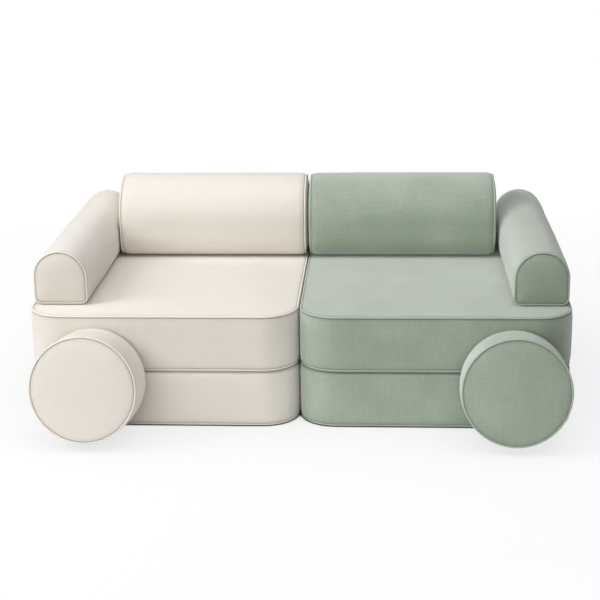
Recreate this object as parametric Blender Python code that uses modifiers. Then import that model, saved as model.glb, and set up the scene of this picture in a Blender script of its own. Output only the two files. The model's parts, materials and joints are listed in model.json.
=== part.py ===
"""Modular foam play sofa: two modules side by side, one cream and one sage green.

Each module is a base block, a seat cushion, a back bolster, an arm bolster and a round
cushion that leans on its front. Every cushion is a foam core in a zipped cover, with
piping along its seams. Lengths are in metres, Z is up and the front faces -Y. The origin
is on the floor, under the middle of the whole sofa.
"""

from math import cos, pi, radians, sin, sqrt

import bmesh
import bpy
from mathutils import Vector

# Gaps and cloth that all the cushions share
clearance = 0.0003
cloth_thickness = 0.002
piping_radius = 0.0028
zip_width = 0.012
slider_length = 0.013
slider_width = 0.009
slider_height = 0.004
slider_edge = 0.001

# Modules
module_width = 0.700
module_depth = 0.800
corner_radius = 0.094
base_height = 0.148
seat_height = 0.150
block_edge_round = 0.012
block_draw_in = 0.003
block_settle = 0.026
block_zip_end = 0.016
seat_crown = 0.009
open_seat_margin = 0.012

# Rolls: the back bolster and the arm bolster share their edges
roll_edge_round = 0.008
roll_draw_in = 0.0035
roll_settle = 0.050
end_crown = 0.005
back_height = 0.2255
back_depth = 0.232
back_foot_round = 0.055
back_zip_rise = 0.070
back_rear_inset = 0.040
back_arm_gap = {"left": 0.0015, "right": 0.0105}
arm_width = 0.1435
arm_height = 0.145
arm_foot_round = 0.018
arm_zip_rise = 0.030
arm_front_setback = 0.0935
arm_rear_inset = 0.0065
arm_outer_inset = 0.007

# Round cushions
disc_radius = 0.137
disc_thickness = 0.130
disc_edge_round = 0.008
disc_draw_in = 0.004
disc_crown = 0.006
disc_lean = radians(9.8)
disc_turn = radians(-1.5)
disc_place = {"left": 0.524, "right": 0.544}

# Counts and shares
corner_steps = 4
foot_steps = 4
arch_steps = 10
round_steps = 2
disc_steps = 24
disc_zip_steps = 6
half_share = 0.5
roll_dip_share = 0.28
crown_ring_shares = (0.66, 0.33)
crown_level_shares = (0.56, 0.89)
end_ring_shares = (0.6,)
end_level_shares = (1.0,)

SIDES = {"left": -1, "right": 1}

# Places worked out from the sizes above
piping_reach = block_edge_round + piping_radius + clearance
roll_piping_reach = roll_edge_round + piping_radius + clearance
disc_piping_reach = disc_edge_round + piping_radius + clearance
outline_width = module_width - clearance
block_zip_length = outline_width - 2 * (corner_radius + block_zip_end)
arm_length = module_depth - arm_front_setback - arm_rear_inset
seat_level = base_height + clearance
facet_dip = block_edge_round * (1 - cos(pi / 4 / round_steps)) * half_share
rim_rise = piping_reach / sqrt(2) - block_edge_round + piping_radius
roll_dip = roll_draw_in * roll_dip_share
rest_level = seat_level + seat_height + rim_rise + clearance - roll_dip
disc_ring_radius = disc_radius - disc_draw_in - disc_edge_round + disc_piping_reach / sqrt(2)
disc_ring_offset = disc_thickness * half_share - disc_edge_round + disc_piping_reach / sqrt(2)
disc_reach = (
    disc_ring_radius * sqrt(sin(disc_turn) ** 2 + (cos(disc_turn) * sin(disc_lean)) ** 2)
    + disc_ring_offset * cos(disc_turn) * cos(disc_lean)
    + piping_radius
)
disc_level = disc_ring_radius * cos(disc_lean) + disc_ring_offset * sin(disc_lean) + piping_radius
rear_reach = clearance + slider_height
front_y = (2 * disc_reach + clearance - module_depth - rear_reach) * half_share
back_front_y = front_y + module_depth - back_rear_inset - back_depth
arm_front_y = front_y + arm_front_setback


def clear_scene():
    for old in list(bpy.data.objects):
        bpy.data.objects.remove(old)


def new_collection(name, hidden=False):
    made = bpy.data.collections.new(name)
    made.hide_render = hidden
    bpy.context.scene.collection.children.link(made)
    return made


def finish(name, colour, roughness, metallic=0.0):
    """A plain Principled material."""
    made = bpy.data.materials.new(name)
    made.use_nodes = True
    shader = made.node_tree.nodes["Principled BSDF"]
    shader.inputs["Base Color"].default_value = (*colour, 1)
    shader.inputs["Roughness"].default_value = roughness
    shader.inputs["Metallic"].default_value = metallic
    return made


def corner_arc(centre, radius, start, steps):
    """Points along a quarter circle, from the angle start on."""
    points = []
    for step in range(steps + 1):
        angle = start + pi / 2 * step / steps
        points.append((centre[0] + radius * cos(angle), centre[1] + radius * sin(angle)))
    return points


def block_outline(width, depth, radius, cuts=()):
    """Rounded rectangle round (0, 0), with extra points at the given places on its rear side."""
    across = width * half_share - radius
    along = depth * half_share - radius
    points = corner_arc((-across, -along), radius, pi, corner_steps)
    points += corner_arc((across, -along), radius, -pi / 2, corner_steps)
    points += corner_arc((across, along), radius, 0, corner_steps)
    points += [(place, depth * half_share) for place in sorted(cuts, reverse=True)]
    points += corner_arc((-across, along), radius, pi / 2, corner_steps)
    return points


def arch_outline(width, height, foot, cuts=()):
    """Round-topped section standing on a flat base, with its middle at (0, 0).

    Extra points lie at the given heights on its side at +X.
    """
    radius = width * half_share
    low = -height * half_share
    across = radius - foot
    points = corner_arc((-across, low + foot), foot, pi, foot_steps)
    points += corner_arc((across, low + foot), foot, -pi / 2, foot_steps)
    points += [(radius, low + rise) for rise in sorted(cuts)]
    spring = -low - radius
    for step in range(arch_steps + 1):
        angle = pi * step / arch_steps
        points.append((radius * cos(angle), spring + radius * sin(angle)))
    return points


def disc_outline(radius):
    """A circle whose first points, as many as the zip has steps, lie evenly about +X."""
    points = []
    for step in range(disc_steps):
        angle = 2 * pi * (step - disc_zip_steps * half_share) / disc_steps
        points.append((radius * cos(angle), radius * sin(angle)))
    return points


def ring(outline, size, inset, level, share=1):
    """The outline drawn in by inset, then shrunk to share, at height level."""
    scale_x = (size[0] - 2 * inset) / size[0] * share
    scale_y = (size[1] - 2 * inset) / size[1] * share
    return [Vector((x * scale_x, y * scale_y, level)) for x, y in outline]


def edge_stations(draw_in, edge_round, steps):
    """(inset, rise) from the panel's rim, round its edge, to the band."""
    stations = []
    for step in range(steps + 1):
        angle = pi / 2 * step / steps
        inset = draw_in + edge_round * (1 - sin(angle))
        stations.append((inset, edge_round * (1 - cos(angle))))
    return stations


def loft(rings, opening=None):
    """A mesh through rings of as many points each, closed by a flat cap at either end.

    opening is (first ring, first point, points along) of the faces that a zip slot leaves out.
    """
    body = bmesh.new()
    loops = [[body.verts.new(point) for point in points] for points in rings]
    count = len(loops[0])
    for level, (low, high) in enumerate(zip(loops, loops[1:])):
        for step in range(count):
            if opening and level == opening[0] and opening[1] <= step < opening[1] + opening[2]:
                continue
            after = (step + 1) % count
            body.faces.new((low[step], low[after], high[after], high[step]))
    body.faces.new(list(reversed(loops[0])))
    body.faces.new(loops[-1])
    bmesh.ops.recalc_face_normals(body, faces=body.faces)
    return body


def add_piece(name, body, carrier, material, mirrored=False):
    """An object from the mesh in body, carried by an empty. The mesh can be mirrored in X."""
    if mirrored:
        for vert in body.verts:
            vert.co.x = -vert.co.x
        bmesh.ops.reverse_faces(body, faces=body.faces)
    mesh = bpy.data.meshes.new(name)
    body.to_mesh(mesh)
    body.free()
    mesh.shade_smooth()
    mesh.set_sharp_from_angle(angle=radians(60))
    mesh.materials.append(material)
    made = bpy.data.objects.new(name, mesh)
    parts.objects.link(made)
    made.parent = carrier
    return made


def add_cover(name, rings, opening, carrier, material, mirrored=False):
    """The sewn cover: an open skin with a zip slot, made as thick as its cloth."""
    body = loft(rings, opening)
    made = add_piece(name, body, carrier, material, mirrored)
    cloth = made.modifiers.new("cloth", "SOLIDIFY")
    cloth.thickness = cloth_thickness
    cloth.offset = -1
    cloth.use_even_offset = True
    cloth.use_rim = True
    return made


def add_piping(name, points, carrier, material, mirrored=False):
    """A closed cord through the points."""
    path = bpy.data.curves.new(name, "CURVE")
    path.dimensions = "3D"
    path.bevel_depth = piping_radius
    path.bevel_resolution = 1
    path.use_fill_caps = True
    spline = path.splines.new("POLY")
    spline.points.add(len(points) - 1)
    for target, point in zip(spline.points, points):
        across = -point.x if mirrored else point.x
        target.co = (across, point.y, point.z, 1)
    spline.use_cyclic_u = True
    path.materials.append(material)
    made = bpy.data.objects.new(name, path)
    parts.objects.link(made)
    made.parent = carrier
    return made


def add_slider(name, place, turn, carrier, material):
    """A zip slider without a pull, standing on the zip at place. Its length lies along local X."""
    body = bmesh.new()
    bmesh.ops.create_cube(body, size=1)
    bmesh.ops.scale(body, verts=body.verts, vec=(slider_length, slider_width, slider_height))
    rise = clearance + slider_height * half_share
    bmesh.ops.translate(body, verts=body.verts, vec=(0, 0, rise))
    made = add_piece(name, body, carrier, material)
    made.location = place
    made.rotation_euler = turn
    edges = made.modifiers.new("worn edges", "BEVEL")
    edges.width = slider_edge
    edges.segments = 1
    return made


def add_carrier(name, place, turn=(0, 0, 0)):
    """An empty at a cushion's own frame, which carries its pieces."""
    made = bpy.data.objects.new(name, None)
    parts.objects.link(made)
    made.location = place
    made.rotation_euler = turn
    return made


def block_rings(outline, size, height, stations, inward, crown):
    """Rings of a block from its flat underside to its top, which rises by crown where it is free.

    inward moves every face in, for the foam.
    """
    rings = [ring(outline, size, inset + inward, rise + inward) for inset, rise in stations]
    top = height - inward
    rings += [ring(outline, size, inset + inward, top - rise) for inset, rise in reversed(stations)]
    if crown:
        rings.append(free_ring(outline, top, 1))
        for share, level_share in zip(crown_ring_shares, crown_level_shares):
            rings.append(free_ring(outline, top + crown * level_share, share))
    return rings


def free_ring(outline, level, share):
    """The outline shrunk to the seat's free area, in front of the bolster and beside the arm."""
    low_x = -outline_width * half_share + arm_outer_inset + arm_width + open_seat_margin
    high_x = outline_width * half_share - block_draw_in - block_edge_round - open_seat_margin
    low_y = -module_depth * half_share + block_draw_in + block_edge_round + open_seat_margin
    high_y = back_front_y - front_y - module_depth * half_share - open_seat_margin
    centre_x = (low_x + high_x) * half_share
    centre_y = (low_y + high_y) * half_share
    scale_x = (high_x - low_x) / outline_width * share
    scale_y = (high_y - low_y) / module_depth * share
    return [Vector((centre_x + x * scale_x, centre_y + y * scale_y, level)) for x, y in outline]


def low_ring(outline, size):
    """Path of the piping along a lower edge: it touches the edge and stays above the underside."""
    level = piping_radius + clearance
    reach = piping_reach - facet_dip
    out = sqrt(reach**2 - (block_edge_round - level) ** 2)
    return ring(outline, size, block_draw_in + block_edge_round - out, level)


def high_ring(outline, size, height):
    """Path of the piping along an upper edge, halfway round it."""
    out = piping_reach / sqrt(2)
    return ring(outline, size, block_draw_in + block_edge_round - out, height - block_edge_round + out)


def add_block(side, kind, height, level, crown, pipings):
    """A base block or a seat cushion, with its foam, cover, piping, zip and zip slider.

    It is built as the left module's and mirrored for the right one.
    """
    mirrored = side == "right"
    size = (outline_width, module_depth)
    centre_x = SIDES[side] * (outline_width + clearance) * half_share
    carrier = add_carrier(f"{side}_{kind}", (centre_x, front_y + module_depth * half_share, level))
    half_zip = block_zip_length * half_share
    outline = block_outline(*size, corner_radius, (-half_zip, half_zip))
    plain = block_outline(*size, corner_radius)
    edge = edge_stations(block_draw_in, block_edge_round, round_steps)
    zip_low = (height - zip_width) * half_share
    band = edge + [(0, block_settle), (0, zip_low)]
    rings = block_rings(outline, size, height, band, 0, crown)
    first_cut = 3 * (corner_steps + 1)
    opening = (len(band) - 1, first_cut, 1)
    add_cover(f"{side}_{kind}_cover", rings, opening, carrier, cloth[side], mirrored)
    inward = cloth_thickness + clearance
    core = [edge[0], edge[-1], (0, block_settle)]
    foam_rings = block_rings(plain, size, height, core, inward, crown)
    add_piece(f"{side}_{kind}_foam", loft(foam_rings), carrier, foam, mirrored)
    if "lower" in pipings:
        path = low_ring(plain, size)
        add_piping(f"{side}_{kind}_lower_piping", path, carrier, cord[side], mirrored)
    if "upper" in pipings:
        path = high_ring(plain, size, height)
        add_piping(f"{side}_{kind}_upper_piping", path, carrier, cord[side], mirrored)
    rear = module_depth * half_share
    middle = height * half_share
    strip = [
        [Vector((place, rear - depth, middle + up)) for depth, up in zip_section()]
        for place in (-half_zip + clearance, half_zip - clearance)
    ]
    add_piece(f"{side}_{kind}_zip", loft(strip), carrier, tape[side], mirrored)
    start = SIDES[side] * (half_zip - clearance - slider_length * half_share)
    add_slider(f"{side}_{kind}_zip_slider", (start, rear, middle), (-pi / 2, 0, 0), carrier, metal)


def zip_section():
    """(depth below the cloth's face, place across) of the zip's four corners."""
    half = zip_width * half_share - clearance
    return ((0, -half), (0, half), (cloth_thickness, half), (cloth_thickness, -half))


def panel_rings(outline, size, stations, length, inward, crown, ring_shares, level_shares):
    """Rings of a cushion that lies between two crowned end panels, from one end to the other."""
    rings = [ring(outline, size, inset + inward, rise + inward) for inset, rise in stations]
    seam = stations[0][0] + inward
    for share, level_share in zip(ring_shares, level_shares):
        rings.insert(0, ring(outline, size, seam, inward - crown * level_share, share=share))
    far = length - inward
    rings += [
        ring(outline, size, inset + inward, far - rise) for inset, rise in reversed(stations)
    ]
    for share, level_share in zip(ring_shares, level_shares):
        rings.append(ring(outline, size, seam, far + crown * level_share, share=share))
    return rings


def add_roll(side, kind, size, foot, zip_rise, length, place, turn, zip_side, ends):
    """A back bolster or an arm bolster: foam, cover, piping at both ends, zip and slider.

    Its section stands in local XY and its length runs along local Z. foot is the radius of the
    section's lower corners. zip_rise is the height of the zip over its underside, and zip_side
    is -1 or 1 for the side of the section, along local X, that holds it. ends names its two ends.
    """
    mirrored = zip_side < 0
    carrier = add_carrier(f"{side}_{kind}", place, turn)
    cuts = (zip_rise, zip_rise + zip_width)
    outline = arch_outline(*size, foot, cuts)
    plain = arch_outline(*size, foot)
    edge = edge_stations(roll_draw_in, roll_edge_round, round_steps)
    band = edge + [(0, roll_settle)]
    shares = (end_crown, end_ring_shares, end_level_shares)
    rings = panel_rings(outline, size, band, length, 0, *shares)
    first_cut = 2 * (foot_steps + 1)
    opening = (len(band) + len(end_ring_shares) - 1, first_cut, 1)
    add_cover(f"{side}_{kind}_cover", rings, opening, carrier, cloth[side], mirrored)
    inward = cloth_thickness + clearance
    core = [edge[0], edge[-1], (0, roll_settle)]
    foam_rings = panel_rings(plain, size, core, length, inward, *shares)
    add_piece(f"{side}_{kind}_foam", loft(foam_rings), carrier, foam, mirrored)
    out = roll_piping_reach / sqrt(2)
    inset = roll_draw_in + roll_edge_round - out
    near = roll_edge_round - out
    for end, level in zip(ends, (near, length - near)):
        path = ring(plain, size, inset, level)
        add_piping(f"{side}_{kind}_{end}_piping", path, carrier, cord[side], mirrored)
    face = size[0] * half_share
    middle = zip_rise + zip_width * half_share - size[1] * half_share
    strip = [
        [Vector((face - depth, middle + up, level)) for depth, up in zip_section()]
        for level in (roll_settle + clearance, length - roll_settle - clearance)
    ]
    add_piece(f"{side}_{kind}_zip", loft(strip), carrier, tape[side], mirrored)
    start = roll_settle + clearance + slider_length * half_share
    turned = (0, zip_side * pi / 2, 0)
    add_slider(f"{side}_{kind}_zip_slider", (zip_side * face, middle, start), turned, carrier, metal)


def centred(rings):
    """The rings of a round cushion, moved so that its middle is at the origin."""
    middle = Vector((0, 0, disc_thickness * half_share))
    return [[point - middle for point in points] for points in rings]


def add_disc(side):
    """A round cushion that leans on the front of its module."""
    place = (SIDES[side] * disc_place[side], front_y - clearance - disc_reach, disc_level)
    carrier = add_carrier(f"{side}_disc", place, (pi / 2 - disc_lean, 0, disc_turn))
    mirrored = side == "left"
    size = (2 * disc_radius, 2 * disc_radius)
    outline = disc_outline(disc_radius)
    edge = edge_stations(disc_draw_in, disc_edge_round, round_steps)
    band = edge + [(0, (disc_thickness - zip_width) * half_share)]
    shares = (disc_crown, end_ring_shares, end_level_shares)
    rings = centred(panel_rings(outline, size, band, disc_thickness, 0, *shares))
    opening = (len(band) + len(end_ring_shares) - 1, 0, disc_zip_steps)
    add_cover(f"{side}_disc_cover", rings, opening, carrier, cloth[side], mirrored)
    inward = cloth_thickness + clearance
    core = [edge[0], edge[-1], band[-1]]
    foam_rings = centred(panel_rings(outline, size, core, disc_thickness, inward, *shares))
    add_piece(f"{side}_disc_foam", loft(foam_rings), carrier, foam, mirrored)
    for face, level in (("front", disc_ring_offset), ("back", -disc_ring_offset)):
        path = ring(disc_outline(disc_ring_radius), size, 0, level)
        add_piping(f"{side}_disc_{face}_piping", path, carrier, cord[side], mirrored)
    end_angle = 2 * pi / disc_steps * disc_zip_steps * half_share
    strip = []
    for step in range(disc_zip_steps + 1):
        angle = -end_angle + 2 * end_angle * step / disc_zip_steps
        if step in (0, disc_zip_steps):
            angle -= clearance / disc_radius * (1 if step else -1)
        strip.append(
            [
                Vector(((disc_radius - depth) * cos(angle), (disc_radius - depth) * sin(angle), up))
                for depth, up in zip_section()
            ]
        )
    add_piece(f"{side}_disc_zip", loft(strip), carrier, tape[side], mirrored)
    add_disc_slider(side, carrier, end_angle)


def add_disc_slider(side, carrier, end_angle):
    """The slider on a round cushion's zip, near its lower end. Its origin is on the disc's axis."""
    start = -end_angle + 2 * pi / disc_steps
    body = bmesh.new()
    bmesh.ops.create_cube(body, size=1)
    bmesh.ops.scale(body, verts=body.verts, vec=(slider_height, slider_length, slider_width))
    rise = disc_radius + clearance + slider_height * half_share
    bmesh.ops.translate(body, verts=body.verts, vec=(rise, 0, 0))
    made = add_piece(f"{side}_disc_zip_slider", body, carrier, metal)
    made.rotation_euler = (0, 0, start if side == "right" else pi - start)
    edges = made.modifiers.new("worn edges", "BEVEL")
    edges.width = slider_edge
    edges.segments = 1


def add_back(side):
    """The back bolster, from the middle of the sofa to the arm bolster."""
    reach = end_crown
    inner = clearance * half_share + reach
    outer = outline_width - arm_outer_inset - arm_width - back_arm_gap[side] - reach
    length = outer - inner
    low = inner if side == "right" else -outer
    place = (low, back_front_y + back_depth * half_share, rest_level + back_height * half_share)
    size = (back_depth, back_height)
    ends = ("left", "right")
    turn = (pi / 2, 0, pi / 2)
    add_roll(side, "back", size, back_foot_round, back_zip_rise, length, place, turn, 1, ends)


def add_arm(side):
    """The arm bolster, along the outer edge of the seat."""
    middle = outline_width - arm_outer_inset - arm_width * half_share
    rear = arm_front_y + arm_length
    place = (SIDES[side] * middle, rear, rest_level + arm_height * half_share)
    size = (arm_width, arm_height)
    ends = ("rear", "front")
    turn = (pi / 2, 0, 0)
    zip_side = SIDES[side]
    add_roll(
        side, "arm", size, arm_foot_round, arm_zip_rise, arm_length, place, turn, zip_side, ends
    )


clear_scene()
parts = new_collection("modular_play_sofa")
foam = finish("open_cell_foam", (0.86, 0.80, 0.62), 0.95)
metal = finish("zip_slider_metal", (0.62, 0.61, 0.58), 0.35, 1.0)
cloth = {
    "left": finish("cream_cloth", (0.80, 0.75, 0.66), 0.9),
    "right": finish("sage_cloth", (0.34, 0.42, 0.33), 0.9),
}
cord = {
    "left": finish("cream_piping", (0.76, 0.70, 0.60), 0.85),
    "right": finish("sage_piping", (0.30, 0.38, 0.29), 0.85),
}
tape = {
    "left": finish("cream_zip_tape", (0.70, 0.65, 0.56), 0.8),
    "right": finish("sage_zip_tape", (0.26, 0.33, 0.26), 0.8),
}
for side in SIDES:
    add_block(side, "base", base_height, 0, 0, ("lower",))
    add_block(side, "seat", seat_height, seat_level, seat_crown, ("lower", "upper"))
    add_back(side)
    add_arm(side)
    add_disc(side)
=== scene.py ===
"""Looks of the modular foam play sofa: stuffed covers, piping, zips, cloth, floor and light.

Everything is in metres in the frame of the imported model: Z is up and the front faces -Y.
"""

import json
from math import asin, cos, exp, pi, radians, sin

import bmesh
import bpy
import numpy as np
from mathutils import Euler, Matrix, Vector, noise


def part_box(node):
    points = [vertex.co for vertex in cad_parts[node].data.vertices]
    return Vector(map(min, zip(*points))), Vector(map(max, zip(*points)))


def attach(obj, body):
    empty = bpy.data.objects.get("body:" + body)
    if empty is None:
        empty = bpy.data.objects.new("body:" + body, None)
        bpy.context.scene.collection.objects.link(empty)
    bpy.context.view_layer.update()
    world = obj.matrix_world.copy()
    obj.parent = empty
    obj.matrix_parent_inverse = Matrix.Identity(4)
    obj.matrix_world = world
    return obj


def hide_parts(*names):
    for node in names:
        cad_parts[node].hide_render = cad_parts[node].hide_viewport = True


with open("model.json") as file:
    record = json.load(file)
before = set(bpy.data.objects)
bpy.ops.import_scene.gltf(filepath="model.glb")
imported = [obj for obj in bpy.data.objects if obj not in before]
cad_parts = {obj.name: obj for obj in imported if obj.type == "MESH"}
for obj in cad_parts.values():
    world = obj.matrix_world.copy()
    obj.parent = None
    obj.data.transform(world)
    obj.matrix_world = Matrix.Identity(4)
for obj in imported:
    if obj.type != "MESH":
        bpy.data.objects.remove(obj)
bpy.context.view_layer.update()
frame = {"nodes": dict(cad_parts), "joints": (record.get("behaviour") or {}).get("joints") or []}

SIDES = ("left", "right")

# Base blocks: the lower layer of each module, a foam block in a sewn cover of short-pile cloth.
# The cover is a bottom panel with piping, and a band that rolls over the top edge without a seam.
# Zip, foam and piping ride with it, because the whole block moves as one.
CORNER_RADIUS = 0.094
BLOCK_DRAWING = (0.001, 0.026)
LOWER_LIFT = {"base": 0.0015, "seat": 0.003}
PANEL_STEP = 0.015
BLOCK_COUNTS = (54, 62)
BASE_EDGE_ROUND = 0.013
COVER_SINK = 0.0003
GROOVE_FLOOR = 0.0046
GROOVE_EDGE = 0.0052
GROOVE_WALL = ((0, 0.0028), (0.0006, 0.0014), (0.0018, 0.0007), (0.0042, 0.0003), (0.0085, 0.0001))
GROOVE_DEPTH = 0.0028
BAND_STEP = 0.012
PUCKER = 0.0007
PUCKER_REACH = 0.016
PUCKER_PITCH = 0.022
SEAM_HOLD = 10
SWELL = 0.0009
SWELL_PITCH = 0.16
ZIP_MARGIN = 0.008
CLOTH_GLOSS = 0.25
REST_MARGIN = 0.02
MODULE_GAP = 0.004
CREAM = (0.745, 0.695, 0.620)
CREAM_PALE = (0.815, 0.775, 0.715)
SAGE = (0.272, 0.334, 0.252)
SAGE_PALE = (0.378, 0.441, 0.350)


def put_in_scene(name, data):
    """A new object, linked to the scene."""
    piece = bpy.data.objects.new(name, data)
    bpy.context.scene.collection.objects.link(piece)
    return piece


def on_line(start, end):
    """A straight stretch of an outline: its length, and a point and outward direction on it."""
    start, end = Vector(start), Vector(end)
    along = (end - start).normalized()
    outward = Vector((along.y, -along.x))
    return (end - start).length, lambda at: (start + along * at, outward)


def on_arc(centre, radius, first, sweep):
    """A round stretch of an outline, from the angle first through sweep, in degrees."""
    centre = Vector(centre)

    def point(at):
        angle = radians(first) + at / radius
        outward = Vector((cos(angle), sin(angle)))
        return centre + outward * radius, outward

    return radius * radians(sweep), point


def trace(stretches, corners, counts):
    """Points and outward directions along an outline, spread evenly from corner to corner.

    corners are distances along the outline and counts the steps from each to the next.
    """
    total = sum(length for length, _ in stretches)
    stops = []
    for first, last, count in zip(corners, corners[1:] + [total], counts):
        stops += [first + (last - first) * step / count for step in range(count)]
    points, outwards = [], []
    for stop in stops:
        rest = stop
        for length, point in stretches:
            if rest <= length:
                break
            rest -= length
        place, outward = point(min(rest, length))
        points.append(place)
        outwards.append(outward)
    return np.array(points), np.array(outwards), np.array(stops + [total])


def block_outline(width, depth):
    """Rounded rectangle, counted from the middle of its front left corner."""
    across, along = width / 2 - CORNER_RADIUS, depth / 2 - CORNER_RADIUS
    out_x, out_y = width / 2, depth / 2
    half = radians(45) * CORNER_RADIUS
    stretches = [
        on_arc((-across, -along), CORNER_RADIUS, 225, 45),
        on_line((-across, -out_y), (across, -out_y)),
        on_arc((across, -along), CORNER_RADIUS, 270, 90),
        on_line((out_x, -along), (out_x, along)),
        on_arc((across, along), CORNER_RADIUS, 0, 90),
        on_line((across, out_y), (-across, out_y)),
        on_arc((-across, along), CORNER_RADIUS, 90, 90),
        on_line((-out_x, along), (-out_x, -along)),
        on_arc((-across, -along), CORNER_RADIUS, 180, 45),
    ]
    front, side = 2 * half + 2 * across, 2 * half + 2 * along
    return trace(stretches, [0, front, front + side, 2 * front + side], BLOCK_COUNTS * 2)


def smooth_step(value):
    value = np.clip(value, 0, 1)
    return value * value * (3 - 2 * value)


def seam_stations(draw_in, settle, last, lift=0):
    """Panel and band stations at a piped seam, as (inset, rise, share of the groove's depth).

    Both surfaces roll over into a narrow groove, in which the piping lies. last is how far the
    innermost station lies from the groove. lift raises the seam over the end plane.
    """
    panel, band = [(draw_in + GROOVE_FLOOR, GROOVE_FLOOR + lift, 1)], []
    for step, depth in GROOVE_WALL + ((last, 0),):
        share = depth / GROOVE_DEPTH
        rise = GROOVE_EDGE + step
        raised = lift * (1 - float(smooth_step(step / last)))
        panel.append((draw_in + rise, depth + raised, share))
        drawn = draw_in * (1 - float(smooth_step(rise / settle)))
        band.append((drawn + depth, rise + lift, share))
    return panel, band


def round_stations(draw_in, settle, radius, last):
    """Panel and band stations at an edge that is rolled over without a seam."""
    panel = [(draw_in + radius + step, 0, 0) for step in (0, last / 2, last)]
    band = []
    steps = 6
    for step in range(1, steps + 1):
        angle = pi / 2 * step / steps
        rise = radius * (1 - cos(angle))
        drawn = draw_in * (1 - float(smooth_step(rise / settle)))
        band.append((drawn + radius * (1 - sin(angle)), rise, 0))
    return panel, band


def coons(loop, counts):
    """A grid of points that spans a closed loop, whose own points are the grid's rim."""
    across, up = counts
    low, right = loop[: across + 1], loop[across : across + up + 1]
    high = loop[across + up : 2 * across + up + 1][::-1]
    left = np.concatenate([loop[2 * across + up :], loop[:1]])[::-1]
    u = np.linspace(0, 1, across + 1)[:, None, None]
    v = np.linspace(0, 1, up + 1)[None, :, None]
    ruled = (1 - v) * low[:, None] + v * high[:, None] + (1 - u) * left[None] + u * right[None]
    corners = (1 - u) * (1 - v) * low[0] + u * (1 - v) * low[-1]
    corners = corners + (1 - u) * v * high[0] + u * v * high[-1]
    return ruled - corners


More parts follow.
